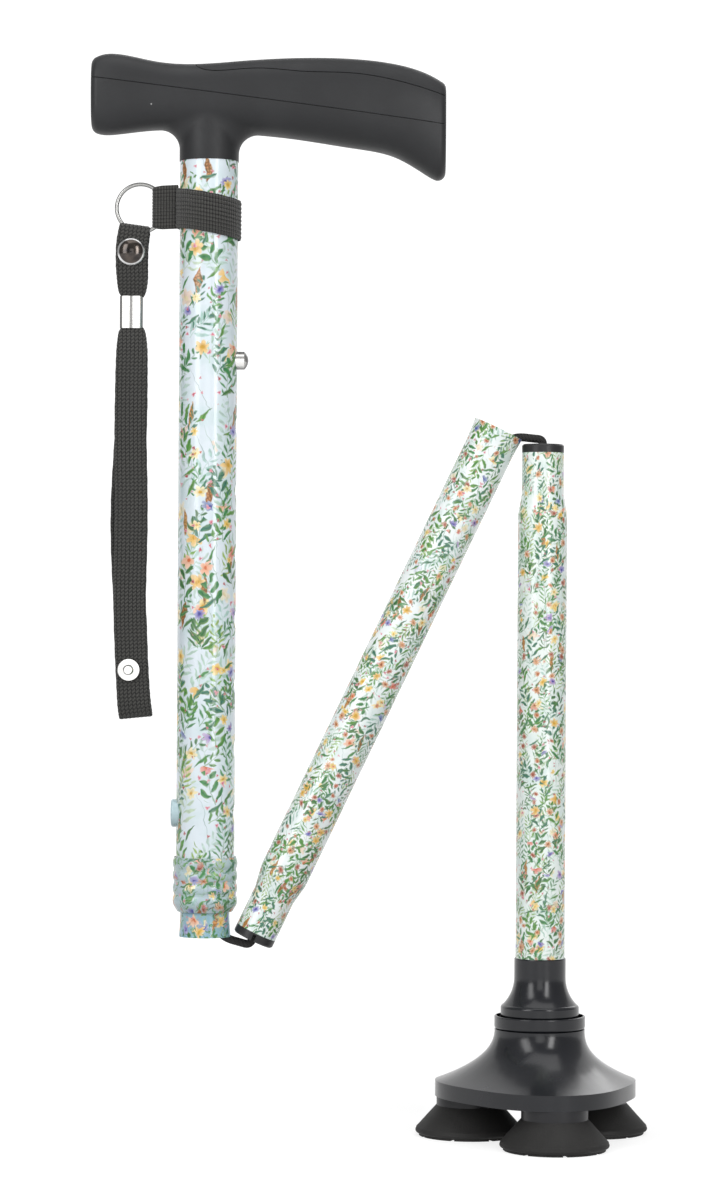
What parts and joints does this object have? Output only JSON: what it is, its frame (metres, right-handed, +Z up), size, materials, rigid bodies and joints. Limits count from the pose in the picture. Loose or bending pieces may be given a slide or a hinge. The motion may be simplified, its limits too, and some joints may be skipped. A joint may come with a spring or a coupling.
{
  "type": "folding walking stick",
  "caption": "Folding, height-adjustable walking stick with a T handle, wrist strap, elastic-cord folding tubes and a tilting base on three rubber feet.",
  "frame": {"origin": "on the floor under the lower tube's axis", "axes": "+Z up along the lower and upper tubes; X along the handle, the upper section stands at -X and the beak points to +X; the stick is seen from -Y"},
  "size_m": [0.218, 0.088, 0.4177],
  "materials": {
    "printed_tube": "glossy clear coat over a printed floral pattern",
    "printed_collar": "glossy, printed like the tube",
    "black_nylon": "moulded, slight sheen",
    "white_acetal": "smooth",
    "elastic_cord": "black braided sheath",
    "handle_plastic": "fine texture, soft sheen",
    "palm_pad": "soft touch",
    "webbing": "knitted elastic",
    "bright_steel": "polished plating",
    "dark_stud": "polished",
    "spring_steel": "drawn",
    "base_plastic": "polished moulding",
    "plate_plastic": "moulded",
    "foot_rubber": "matte"
  },
  "bodies": {
    "lower_section": {"lower_tube": "printed_tube", "lower_end_cap": "black_nylon", "lower_cord": "elastic_cord", "lower_anchor": "black_nylon", "ferrule": "base_plastic", "ball_stud": "spring_steel"},
    "base_swivel": {"swivel_ball": "spring_steel"},
    "base_cup": {"ball_cup": "white_acetal"},
    "foot_base": {"foot_bell": "base_plastic", "neck_ring": "base_plastic", "foot_plate": "plate_plastic", "foot_pad_1": "foot_rubber", "foot_pad_2": "foot_rubber", "foot_pad_3": "foot_rubber", "foot_screw_1": "spring_steel", "foot_screw_2": "spring_steel", "foot_screw_3": "spring_steel"},
    "lower_link": {"lower_cord_loop": "elastic_cord"},
    "middle_section": {"middle_tube": "printed_tube", "middle_end_cap": "black_nylon", "middle_cord": "elastic_cord"},
    "upper_link": {"upper_cord_loop": "elastic_cord"},
    "inner_section": {"inner_tube": "printed_tube", "inner_guide": "black_nylon", "inner_cord": "elastic_cord", "inner_anchor": "black_nylon", "button_spring": "spring_steel"},
    "button": {"snap_button": "bright_steel"},
    "handle_section": {"outer_tube": "printed_tube", "collet_bush": "black_nylon", "handle_core": "black_nylon", "handle_lower_shell": "handle_plastic", "handle_upper_shell": "handle_plastic", "handle_palm_pad": "palm_pad", "strap_band": "webbing", "strap_tab": "webbing"},
    "collar": {"collar_nut": "printed_collar"},
    "ring": {"split_ring": "bright_steel"},
    "strap": {"wrist_strap": "webbing", "strap_clamp": "bright_steel", "press_stud_cap": "dark_stud", "press_stud_socket": "bright_steel", "strap_stud": "bright_steel"}
  },
  "joints": [
    {"name": "base_swivel_turn", "type": "hinge", "parent": "lower_section", "child": "base_swivel", "pos_m": [0, 0, 0.037], "axis": [0, 0, 1], "continuous": true},
    {"name": "base_pitch", "type": "hinge", "parent": "base_swivel", "child": "base_cup", "pos_m": [0, 0, 0.037], "axis": [1, 0, 0], "range_deg": [-5, 5]},
    {"name": "base_roll", "type": "hinge", "parent": "base_cup", "child": "foot_base", "pos_m": [0, 0, 0.037], "axis": [0, 1, 0], "range_deg": [-5, 5]},
    {"name": "lower_insert", "type": "slide", "parent": "lower_section", "child": "lower_link", "axis": [0, 0, -1], "range_m": [0, 0.0205], "deforming": ["lower_cord_loop", "middle_cord", "lower_cord"]},
    {"name": "lower_fold", "type": "hinge", "parent": "lower_link", "child": "middle_section", "pos_m": [-0.009, 0, 0.2701], "axis": [0, 1, 0], "range_deg": [-10, 154.6], "deforming": ["lower_cord_loop", "middle_cord", "lower_cord"]},
    {"name": "upper_insert", "type": "slide", "parent": "middle_section", "child": "upper_link", "axis": [0.4289, 0, 0.9033], "range_m": [0, 0.0217], "deforming": ["upper_cord_loop", "middle_cord", "inner_cord"]},
    {"name": "upper_fold", "type": "hinge", "parent": "upper_link", "child": "inner_section", "pos_m": [-0.12048, 0, 0.07728], "axis": [0, -1, 0], "range_deg": [-10, 154.6], "deforming": ["upper_cord_loop", "middle_cord", "inner_cord"]},
    {"name": "height_adjust", "type": "slide", "parent": "inner_section", "child": "handle_section", "axis": [0, 0, 1], "range_m": [0, 0.15]},
    {"name": "button_press", "type": "slide", "parent": "inner_section", "child": "button", "axis": [-1, 0, 0], "range_m": [0, 0.0056], "stiffness_N_per_m": 1200, "springref_m": -0.001, "deforming": ["button_spring"]},
    {"name": "collar_turn", "type": "hinge", "parent": "handle_section", "child": "collar", "pos_m": [-0.12948, 0, 0.09748], "axis": [0, 0, 1], "range_deg": [0, 270]},
    {"name": "ring_swing", "type": "hinge", "parent": "handle_section", "child": "ring", "pos_m": [-0.14668, 0, 0.35828], "axis": [0, 0, 1], "range_deg": [-70, 70], "deforming": ["strap_tab"]},
    {"name": "strap_swing", "type": "hinge", "parent": "ring", "child": "strap", "pos_m": [-0.15918, 0, 0.34969], "axis": [0.9335, 0, -0.3587], "range_deg": [-60, 60], "deforming": ["wrist_strap"]}
  ]
}
